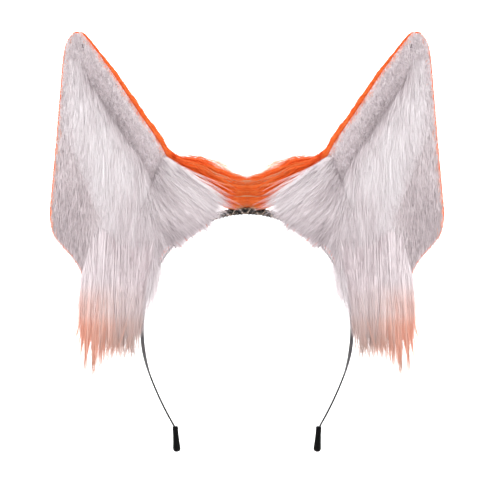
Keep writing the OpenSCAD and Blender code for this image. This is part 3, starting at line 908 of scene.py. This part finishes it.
# --- Long white fur ---------------------------------------------------------------------
# Long-pile white faux fur sewn down the middle of the ear's face. Its hairs fall straight
# at the outer side and fan towards the centre at the inner side.
def lean(x, z):
    """The hairs' lean towards the centre line, in degrees from straight down."""
    fan = (50 * ease((66 - x) / 24) + 4 * ease((36 - x) / 14)) * ease((z + 46) / 44)
    beside = 11 * np.exp(-((x - fold_x(np.clip(z, 0, ear_top)) - 3) / 9) ** 2)
    beside = beside * ease((z - 15) / 25) * ease((95 - z) / 20)
    spread = (1 + 12 * ease((78 - x) / 24)) * ease((-22 - z) / 20) * ease((z + 80) / 20)
    return fan + beside - spread - 2.5 * ease((x - 92) / 10)


def fall(rng, x, z, length, steps, wander=6.0, wave=0.5, start_lean=0.0):
    """Flat paths of hairs that fall along the lay of the fur, as x and z."""
    n = len(x)
    paths = np.empty((n, steps + 1, 2))
    paths[:, 0] = np.column_stack([x, z])
    off = rng.normal(0, wander, n) + start_lean
    curl, phase = rng.normal(0, wander * wave, n), rng.uniform(0, 6.3, n)
    for i in range(steps):
        px, pz = paths[:, i].T
        t = i / steps
        a = np.radians(lean(px, pz) + off * (1 - 0.3 * t) + curl * np.sin(phase + 5 * t))
        way = np.column_stack([-np.sin(a), -np.cos(a)])
        paths[:, i + 1] = paths[:, i] + (length / steps)[:, None] * way
    return paths


root_depth = 2.5


def drape(paths, depth, lift):
    """Sets flat paths on the ear's face, rising from their roots to depth in front of it."""
    x, z = paths[:, :, 0], paths[:, :, 1]
    t = np.linspace(0, 1, paths.shape[1])[None, :]
    rise = root_depth + depth[:, None] * (1 - (1 - np.clip(t * 3, 0, 1)) ** 2)
    rise = rise + lift[:, None] * t * (1 - 0.5 * t)
    y = ear_y(x, z) - rise
    clear = -mix(4.6, 11.0, ease((-18 - z) / 26)) - 0.6 * depth[:, None]
    over_hoop = ease((-z - 2 + 0.5 * (60 - x)) / 14)
    y = np.minimum(y, mix(y, np.minimum(y, clear), over_hoop))
    smooth = y.copy()
    smooth[:, 1:-1] = 0.25 * y[:, :-2] + 0.5 * y[:, 1:-1] + 0.25 * y[:, 2:]
    return np.stack([x, np.minimum(smooth, y + 0.3), z], axis=2)


def locks(rng, guides, per, root_spread, tip_spread):
    """Each guide hair repeated per times, gathered towards its tip, so that a fine lock shows."""
    t = np.linspace(0, 1, guides.shape[1])[None, :, None]
    many = np.repeat(guides, per, axis=0)
    return many + rng.normal(0, 1, (len(many), 1, guides.shape[2])) * mix(root_spread, tip_spread, t)


def fringe_z(x):
    """Where the fur's ragged lower edge lies, against x."""
    return np.interp(x, [0, 7, 10, 18, 25, 32, 42, 50, 54, 58, 62, 64, 65, 98, 102, 106],
                     [60, 24, 4, -1, -4.5, -9, -15, -19, -27, -37, -52, -62, -70, -74, -66, -50])


def reach_fringe(rng, x, z, longest, ragged, **lay):
    """Hair lengths that end near the fringe, and no longer than longest."""
    fine, far = 40, 110.0
    trial = fall(rng, x, z, np.full(len(x), far), fine, **lay)
    below = trial[:, :, 1] < fringe_z(trial[:, :, 0])
    first = np.where(below.any(axis=1), below.argmax(axis=1), fine)
    return np.minimum(far * first / fine * ragged, longest)


# Long acrylic pile: fine, nearly straight hairs, bright white with a soft sheen along the lay. Their
# tone range darkens to a cool pink-grey, which carries painted shade in the fold and under the
# overhangs, and their roots are painted a little darker as shade among the hairs.
white_fibre = fibre("long_white_acrylic_fibre",
                    [(0.0, [(0.0, "#eae2e5"), (0.5, "#cfc2c6"), (1.0, "#93868b")]),
                     (0.5, [(0.0, "#fbf7f9"), (0.5, "#e9dfe2"), (1.0, "#ad9fa4")])],
                    roughness=0.55, sheen=0.05, spread=0.09)


def painted_fur_shade(x, z):
    """Painted shade, as tone by place: darker in the fold, under the fan's overhang, and low beside
    the hoop in the ear's middle and at its outer edge.
    """
    under_fan = np.exp(-((x - 47) / 12) ** 2) * ease((8 - z) / 18) * ease((z + 44) / 18)
    centre = np.exp(-((x - 72) / 9) ** 2) * ease((24 - z) / 20) * ease((z + 40) / 20)
    outer = ease((x - outer_x(z) + 18) / 14) * ease((30 - z) / 30)
    return 0.48 * painted_fold_shade(x, z) + 0.4 * under_fan + 0.26 * centre + 0.2 * outer


def long_span(z):
    """The shares of the ear's width between which the long pile grows, at a height."""
    first = np.interp(z, [-38, -31, -19, -9, -3, 17, 37, 57, 75, 92],
                      [0.02, 0.05, 0.26, 0.38, 0.34, 0.26, 0.17, 0.05, 0.06, 0.16])
    return first, np.interp(z, *fold_line) - 0.01


def long_zone(x, z):
    """Where the long pile is sewn on."""
    u = share(x, z)
    first, last = long_span(z)
    return on_face(x, z, 1) & (u > first) & (u < last) & (z < 94)


long_count = 27500
long_width = 0.22
rng = np.random.default_rng(21)
roots = scatter(rng, long_count, long_zone, (28, -34), (116, 94))
x, z = roots.T
first, last = long_span(z)
wide = outer_x(z) - inner_x(z)
from_edge = np.minimum((share(x, z) - first) * wide / 22, (95 - z) / 28)
from_edge = np.minimum(from_edge, mix(0.45, 1, ease((last - share(x, z)) * wide / 8)))
full = np.interp(z, [-34, 0, 40, 70, 86], [32, 34, 30, 26, 22])
length = rng.uniform(0.7, 1.15, len(x)) * mix(4.5, full, ease(from_edge))
length = np.minimum(length, reach_fringe(rng, x, z, 60, rng.uniform(0.85, 1.02, len(x))))
flat = fall(rng, x, z, length, 4)
depth = rng.uniform(0.3, 2.8, len(x)) * mix(0.3, 1, ease(from_edge))
paths = drape(flat, depth, rng.uniform(0, 1.4, len(x)))
paths, guide = bunch(rng, paths, 1.8, 0.24, close=0.5, start=0.15)
streak = 0.08 * np.sin(x / 3.1 + 2 * np.sin(z / 23)) * np.sin(x / 6.7 + z / 37)
middle = paths[:, 2]
# The tone carries painted shade by place: darker in the fold, under the fan and low on the ear.
tone = 0.22 + streak + painted_fur_shade(middle[:, 0], middle[:, 2]) + 0.08 * (1 - ease(from_edge))
tone = np.clip(tone + rng.normal(0, 0.06, len(x)) + rng.normal(0, 0.04, len(x))[guide], 0, 0.99)
long_paths, long_tone = paths, tone
for side, hand in sides:
    long_fur = hairs(f"{hand}_long_white_fur", hand, side, white_fibre, long_paths,
                     long_width, long_tone, 22)
    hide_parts(f"{hand}_long_fur")


# --- Side tuft --------------------------------------------------------------------------
# The longest pile hangs from the ear's lobe, past the cheek. Its ends are airbrushed
# salmon on the outer third and a pale pink-brown further in, and part into locks.

# How low the finest locks hang, against x
lock_x = [62, 65, 69, 73, 77, 81, 85, 90, 95, 100, 105]
lock_z = [-80, -93, -85, -84, -92, -88, -86, -97, -97, -90, -80]
lock_count = 260
lock_hairs = 11
lock_width = 0.34
tuft_count = 18000
hair_width = 0.24
tuft_middle = 81

# Airbrushed acrylic pile: white at its roots, and its dyed end turns brown where the dye is
# thickest. The tone range runs from the grey of the inner side to the salmon of the outer.
tuft_fibre = fibre("airbrushed_tuft_fibre",
                   [(0.34, [(0.0, "#d3c5c9"), (0.4, "#e6dadd"), (0.8, "#ede3e6"), (1.0, "#eee3e6")]),
                    (0.54, [(0.0, "#cfc0c2"), (0.4, "#e4d3d2"), (0.75, "#f0d6d1"), (1.0, "#f3cec5")]),
                    (0.66, [(0.0, "#cdbcba"), (0.4, "#e0c0b8"), (0.75, "#f0c0af"), (1.0, "#f5b199")]),
                    (0.78, [(0.0, "#c4afaa"), (0.4, "#d8b1a3"), (0.75, "#edb5a0"), (1.0, "#f3ad93")]),
                    (0.95, [(0.0, "#9b857e"), (0.4, "#a57f70"), (0.75, "#b98770"), (1.0, "#c58f78")])],
                   roughness=0.55, sheen=0.05, spread=0.12)
rng = np.random.default_rng(31)


def tuft_zone(x, z):
    """The lobe, below a line that rises towards the outer edge."""
    first, _ = long_span(z)
    below = z < -12 + 0.2 * (x - 60)
    return on_face(x, z, 1.2) & (x > 55) & (x < 98.5) & (share(x, z) > first) & below


roots = scatter(rng, tuft_count, tuft_zone, (55, -38), (99, 0))
x, z = roots.T
steps = 4
flat = fall(rng, x, z, np.full(len(x), 20.0), steps, wander=2.5)
end_x = np.clip(x + (flat[:, -1, 0] - x) * 2.4, 63.5, 99.5) + rng.normal(0, 1.0, len(x))
end_z = -60 - 17 * rng.uniform(0, 1, len(x)) + 9 * ease((68 - end_x) / 5) * rng.uniform(0, 1, len(x))
end_z += 0.25 * (np.interp(end_x, lock_x, lock_z) + 88)
t = np.linspace(0, 1, steps + 1)[None, :]
sway = rng.normal(0, 0.8, len(x))[:, None] * np.sin(math.pi * t)
sway = sway + rng.normal(0, 0.35, len(x))[:, None] * np.sin(3 * math.pi * t)
waist = 2.2 * ease((66 - x) / 8)[:, None] * np.sin(math.pi * t)
flat_x = mix(x[:, None], end_x[:, None], ease(t) * 0.6 + 0.4 * t) + sway + waist
flat = np.stack([flat_x, mix(z[:, None], end_z[:, None], t)], axis=2)
paths = drape(flat, rng.uniform(0.8, 4.6, len(x)), rng.uniform(0, 1.5, len(x)))
paths, guide = bunch(rng, paths, 1.8, 0.24, close=0.5, start=0.4)
luck = rng.normal(0, 0.09, len(x)) + rng.normal(0, 0.07, len(x))[guide]
# Fine locks that hang past the rest: each starts among the body's hairs and ends in a point
chosen = rng.choice(len(x), lock_count, replace=False)
guides = paths[chosen].copy()
tip_x = tuft_middle + (guides[:, -1, 0] - tuft_middle) * 1.22 + rng.normal(0, 1.6, lock_count)
tip_x = np.where(tip_x < 64.5, rng.uniform(64.5, 92, lock_count), tip_x)
lowest = np.interp(tip_x, lock_x, lock_z) - 5
tip_z = mix(-78, lowest, rng.uniform(0, 1.0, lock_count)) + rng.normal(0, 2.6, lock_count)
guides[:, :, 0] = mix(guides[:, :1, 0], tip_x[:, None], t ** 1.5)
guides[:, :, 2] = mix(guides[:, :1, 2], tip_z[:, None], t)
guides[:, 1:, 1] -= rng.uniform(-1.0, 0.6, lock_count)[:, None]
lock_paths = locks(rng, guides, lock_hairs, 0.9, 0.17)
lock_paths[:, :, 2] += rng.uniform(0, 4, len(lock_paths))[:, None] * t
tuft_width = np.concatenate([np.full(len(paths), hair_width), np.full(len(lock_paths), lock_width)])
paths = np.concatenate([paths, lock_paths])
luck = np.concatenate([luck, np.repeat(rng.normal(-0.1, 0.12, lock_count), lock_hairs)])
tone = np.interp(paths[:, -1, 0], [58, 66, 74, 82, 88, 99], [0.06, 0.2, 0.34, 0.62, 0.84, 0.97])
tone = np.clip(tone + luck, 0, 0.99)
tuft_along = np.clip((-paths[:, :, 2] - 5) / 95, 0, 1)
tuft_paths, tuft_tone = paths, tone
for side, hand in sides:
    tuft = hairs(f"{hand}_cheek_tuft", hand, side, tuft_fibre, tuft_paths,
                 tuft_width, tuft_tone, 32, along=tuft_along)
    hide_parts(f"{hand}_side_tuft")


# --- Inner fan --------------------------------------------------------------------------
# Long white pile sewn along the ear's inner foot. It sweeps down and in across the hoop,
# and thins to a wispy fringe over the forehead.
fan_top_x, fan_top_z = [28, 36, 44, 50, 55, 60, 66], [7, 21, 32.5, 36, 26, 12, 0]
fan_count = 26000
wisp_count = 380
wisp_hairs = 4
fan_width = 0.22


def fan_zone(x, z):
    """Along the ear's inner foot, under the fan's top line."""
    high = np.interp(x, fan_top_x, fan_top_z)
    inside = on_face(x, z, 0.2) & (x > inner_x(z) + 0.5)
    return inside & (z > -33) & (z < high) & (x < 66 - 0.3 * np.maximum(-z, 0))


rng = np.random.default_rng(41)
roots = scatter(rng, fan_count, fan_zone, (28, -37), (67, 42))
x, z = roots.T
full = reach_fringe(rng, x, z, 62, 1.0, wander=5.0)
length = full * np.clip(1.05 - np.abs(rng.normal(0, 0.38, len(x))), 0.4, 1.05)
by_fold = ease((np.interp(x, fan_top_x, fan_top_z) - z) / 16)
length *= np.where(x > 46, mix(0.2, 1, by_fold), 1)
flat = fall(rng, x, z, length, 4, wander=6.0)
paths = drape(flat, rng.uniform(0.4, 4.0, len(x)), rng.uniform(0, 1.5, len(x)))
paths, guide = bunch(rng, paths, 1.6, 0.14, close=0.6, start=0.35)
middle = paths[:, 2]
# The fan starts a step darker than the long fur, and painted shade by place darkens it further.
tone = 0.38 + painted_fur_shade(middle[:, 0], middle[:, 2]) + rng.normal(0, 0.07, len(x))
tone = tone + rng.normal(0, 0.04, len(x))[guide]
# Wisps that hang past the fringe, each a few hairs drawn together
chosen = rng.choice(np.flatnonzero((z < 24) & (x < 60)), wisp_count, replace=False)
stretched = full[chosen] + rng.uniform(-2, 11, wisp_count)
guides = fall(rng, x[chosen], z[chosen], stretched, 4, wander=10.0, start_lean=-6.0)
guides = drape(guides, rng.uniform(0.4, 4.0, wisp_count), rng.uniform(0, 2.0, wisp_count))
wisps = locks(rng, guides, wisp_hairs, 0.9, 0.2)
paths = np.concatenate([paths, wisps])
tone = np.concatenate([tone, np.repeat(rng.uniform(0.4, 0.9, wisp_count), wisp_hairs)])
tone = np.clip(tone, 0, 0.99)
fan_paths, fan_tone = paths, tone
for side, hand in sides:
    fan = hairs(f"{hand}_forehead_fan", hand, side, white_fibre, fan_paths,
                fan_width, fan_tone, 42)
    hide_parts(f"{hand}_inner_fan")


# --- Orange back ------------------------------------------------------------------------
# Orange faux fur with a medium pile, cut like the lining and glued to the foam's back. Its
# pile lies down towards the ear's foot and shows as a bright line round the edge.
back_count = 20500
back_width = 0.45
# Dyed acrylic fibre: a strong orange with little gloss. Painted shade deepens it towards the
# roots, and a painted highlight lightens the tips.
orange_fibre = fibre("orange_acrylic_fibre",
                     [(0.0, [(0.0, "#f25a14"), (0.5, "#dd4a0c"), (1.0, "#c53f0a")]),
                      (0.5, [(0.0, "#ff8a45"), (0.5, "#ff7028"), (1.0, "#ee5c14")])],
                     roughness=0.65, gloss=0.2, spread=0.22)
rng = np.random.default_rng(51)
roots = scatter(rng, back_count, lambda x, z: on_face(x, z, 1.0), ear_low, ear_high)
x, z = roots.T
pile = rng.uniform(6.0, 11.0, len(x))
gap = np.minimum(outer_x(z) - x, np.where(z > 2, x - inner_x(z), 9))
pile *= mix(0.35, 1, ease((gap - 1) / 8)) * mix(0.7, 1, ease((100 - z) / 40))
steps = 3
sway = np.radians(rng.normal(0, 11, len(x)) + 22 * ease((75 - x) / 40))
paths = np.empty((len(x), steps + 1, 3))
depth = rng.uniform(0.5, 3.2, len(x))
for i in range(steps + 1):
    t = i / steps
    px = np.clip(x - np.sin(sway) * pile * t, inner_x(np.clip(z, -38, 108)) - 1.0, outer_x(z) + 0.6)
    pz = z - np.cos(sway) * pile * t
    paths[:, i] = np.column_stack([px, ear_y(px, pz) + 2.5 + depth * (1 - (1 - t) ** 2), pz])
paths, guide = bunch(rng, paths, 3.0, 0.6, start=0.1)
tone = np.clip(rng.normal(0.3, 0.14, len(x)) + rng.normal(0, 0.12, len(x))[guide], 0, 0.72)
back_paths, back_tone = paths, tone
back_shape = ear_slab(lambda e: mix(1.9, 2.6, ease((e - 0.5) / 4)),
                      lambda e: mix(1.7, 1.05, ease((e - 1) / 4)), 1.2)
for side, hand in sides:
    back = mesh_piece(f"{hand}_orange_back", *back_shape, orange_backing, side)
    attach(back, f"{hand}_ear")
    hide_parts(f"{hand}_ear_shell")
    hairs(f"{hand}_orange_back_fur", hand, side, orange_fibre, back_paths,
          back_width, back_tone, 52, facing=(0, 1, 0))


# --- Orange rim -------------------------------------------------------------------------
# The back's pile stands out past the seam as a thin line of orange hairs, short at the tip
# and the outer edge and longer where the inner edge nears the base.
rim_width = 0.42
rim_low = 38
inner_share = 0.66
rng = np.random.default_rng(61)
n = 13000
tip_at = int(np.argmax(edge_path[:, 2]))
on_inner = rng.uniform(0, 1, n) < inner_share
join_at = int(np.argmax(edge_path[:, 2] > rim_low))
pick = np.where(on_inner, rng.uniform(join_at, tip_at + 2, n),
                rng.uniform(tip_at - 2, len(edge_path) - 1.001, n))
i = pick.astype(int)
at = edge_path[i] + (pick - i)[:, None] * (edge_path[i + 1] - edge_path[i])
way = edge_path[i + 1] - edge_path[i]
way /= np.linalg.norm(way, axis=1)[:, None]
down = np.where(way[:, 2:] > 0, -way, way)
out = np.cross(way, [0, 1, 0])
out /= np.linalg.norm(out, axis=1)[:, None]
turn = np.radians(np.where(on_inner, rng.uniform(-75, 100, n), rng.uniform(0, 120, n)))
radial = np.cos(turn)[:, None] * out + np.sin(turn)[:, None] * np.array([0, 1, 0])
z = at[:, 2]
patchy = 1 + 0.3 * np.sin(z / 4.1) * np.sin(z / 1.7 + 1)
pile = np.where(on_inner, np.interp(z, [38, 55, 80, 104, 110], [8.0, 7.0, 4.0, 2.2, 1.4]) * patchy,
                np.interp(z, [-38, 0, 30, 60, 104], [2.8, 3.2, 2.8, 1.8, 1.2]))
pile *= rng.uniform(0.6, 1.15, n)
tilt = np.where(on_inner, rng.uniform(0.12, 0.5, n), rng.uniform(0.0, 0.3, n))
paths = np.empty((n, 3, 3))
for k in range(3):
    t = k / 2
    paths[:, k] = at + radial * (roll_r * 0.9) + pile[:, None] * t * (
        (1 - 0.6 * tilt)[:, None] * down + (tilt * (1 - 0.45 * t))[:, None] * radial)
rim_tone = np.clip(rng.normal(0.28, 0.13, n), 0, 0.75)
rim_paths = paths
for side, hand in sides:
    hairs(f"{hand}_orange_rim", hand, side, orange_fibre, rim_paths, rim_width, rim_tone, 62)


# --- Orange base fur --------------------------------------------------------------------
# Long orange pile gathered at each ear's inner foot. It lies along the hoop towards the
# centre, where the two sides meet and their fine cream ends cross.
top_x, top_z = [0, 8, 21, 28, 37, 42, 46, 50, 54, 58], [21, 22.5, 27.5, 32.5, 33, 34, 37, 41.5, 48, 54]
low_x, low_z = [0, 5, 9, 15, 25, 34, 45, 50, 54, 58], [4.6, 4.6, 5, 6.5, 14.5, 21, 29.5, 35.5, 42, 50]
longest_swept = 34
flyaway_share = 0.05
over_share = 0.14
base_width = 0.26
cream_hairs = 7
cream_width = 0.15


def swept_in(rng, n, length, share_up, drift, start=(8, 58)):
    """Paths of hairs that lie along the hoop from each ear's foot towards the centre."""
    x = rng.uniform(start[0], start[1], n)
    length = length(x)
    steps = 4
    paths = np.empty((n, steps + 1, 3))
    layer = rng.uniform(0, 1, n)
    over = rng.uniform(0, 1, n) < over_share
    slip, wave = rng.normal(0, drift, n), rng.normal(0, 0.5 * drift, n)
    phase = rng.uniform(0, 6.3, n)
    for i in range(steps + 1):
        t = i / steps
        px = x - length * t
        away = np.abs(px)
        up = np.maximum(share_up + slip * t + wave * np.sin(phase + 5 * t), -0.1)
        pz = mix(np.interp(away, low_x, low_z), np.interp(away, top_x, top_z), up)
        pz += np.where(px < 0, -0.12 * px, 0)
        puff = np.sqrt(np.clip(np.sin(np.clip(share_up, 0.02, 0.98) * math.pi), 0, 1))
        puff = puff * ease((away + 5) / 14) * ease((62 - away) / 24)
        py = 1.6 + puff * mix(-6.5, 6.0, layer) - 4.5 * over * ease(away / 12)
        paths[:, i] = np.column_stack([px, py, pz])
    return paths


rng = np.random.default_rng(71)
n = 15300
flyaway = rng.uniform(0, 1, n) < flyaway_share
share_up = rng.uniform(-0.03, 1.03, n)
paths = swept_in(rng, n,
                 lambda x: np.minimum(rng.uniform(0.4, 1.2, n) * x + rng.uniform(0, 3, n), longest_swept),
                 share_up, np.where(flyaway, 0.26, 0.10))
paths, guide = bunch(rng, paths, 2.2, 0.45, close=0.4, start=0.1)
tone = np.clip(rng.normal(0.30, 0.2, n) + rng.normal(0, 0.22, n)[guide], 0, 0.99)
base_paths, base_tone = paths, tone
# Cream-tipped guard hairs: bleached ends that cross over the centre line.
wisp_fibre = fibre("cream_tipped_orange_fibre",
                   [(0.25, [(0.0, "#fb7a34"), (1.0, "#e9783c")]),
                    (0.62, [(0.0, "#f5cfa6"), (1.0, "#d9b48c")])],
                   roughness=0.6, gloss=0.3, spread=0.2)
n = 150
share_up = rng.uniform(0.1, 1.2, n)
guides = swept_in(rng, n, lambda x: x * 0.9 + rng.uniform(-10, 8, n), share_up, 0.2, start=(12, 44))
wisp_paths = locks(rng, guides, cream_hairs, 0.8, 0.12)
wisp_tone = np.repeat(rng.uniform(0, 0.99, n), cream_hairs)
for side, hand in sides:
    base = hairs(f"{hand}_orange_base_fur", hand, side, orange_fibre, base_paths,
                 base_width, base_tone, 72)
    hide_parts(f"{hand}_base_fur")
    hairs(f"{hand}_centre_wisps", hand, side, wisp_fibre, wisp_paths,
          cream_width, wisp_tone, 73)


# --- Tip stitch -------------------------------------------------------------------------
# A small tack of dark grey polyester thread that closes the lining just below the tip; its dark
# grey is partly painted shade, for the small dimple at the tack. It is twisted from two plies, which
# mottle it a little.
thread_and_dimple_shade = mottled("polyester_thread_and_dimple_shade", "TexNoise", {"Scale": 3000.0, "Detail": 2.0}, "Fac",
                      [(0.3, "#4a4044"), (0.7, "#75686d")], 0.5, 0.00005, Roughness=0.5)
for side, hand in sides:
    tack = bpy.data.objects[f"{hand}_tip_stitch"]
    tack.data.materials.clear()
    tack.data.materials.append(thread_and_dimple_shade)
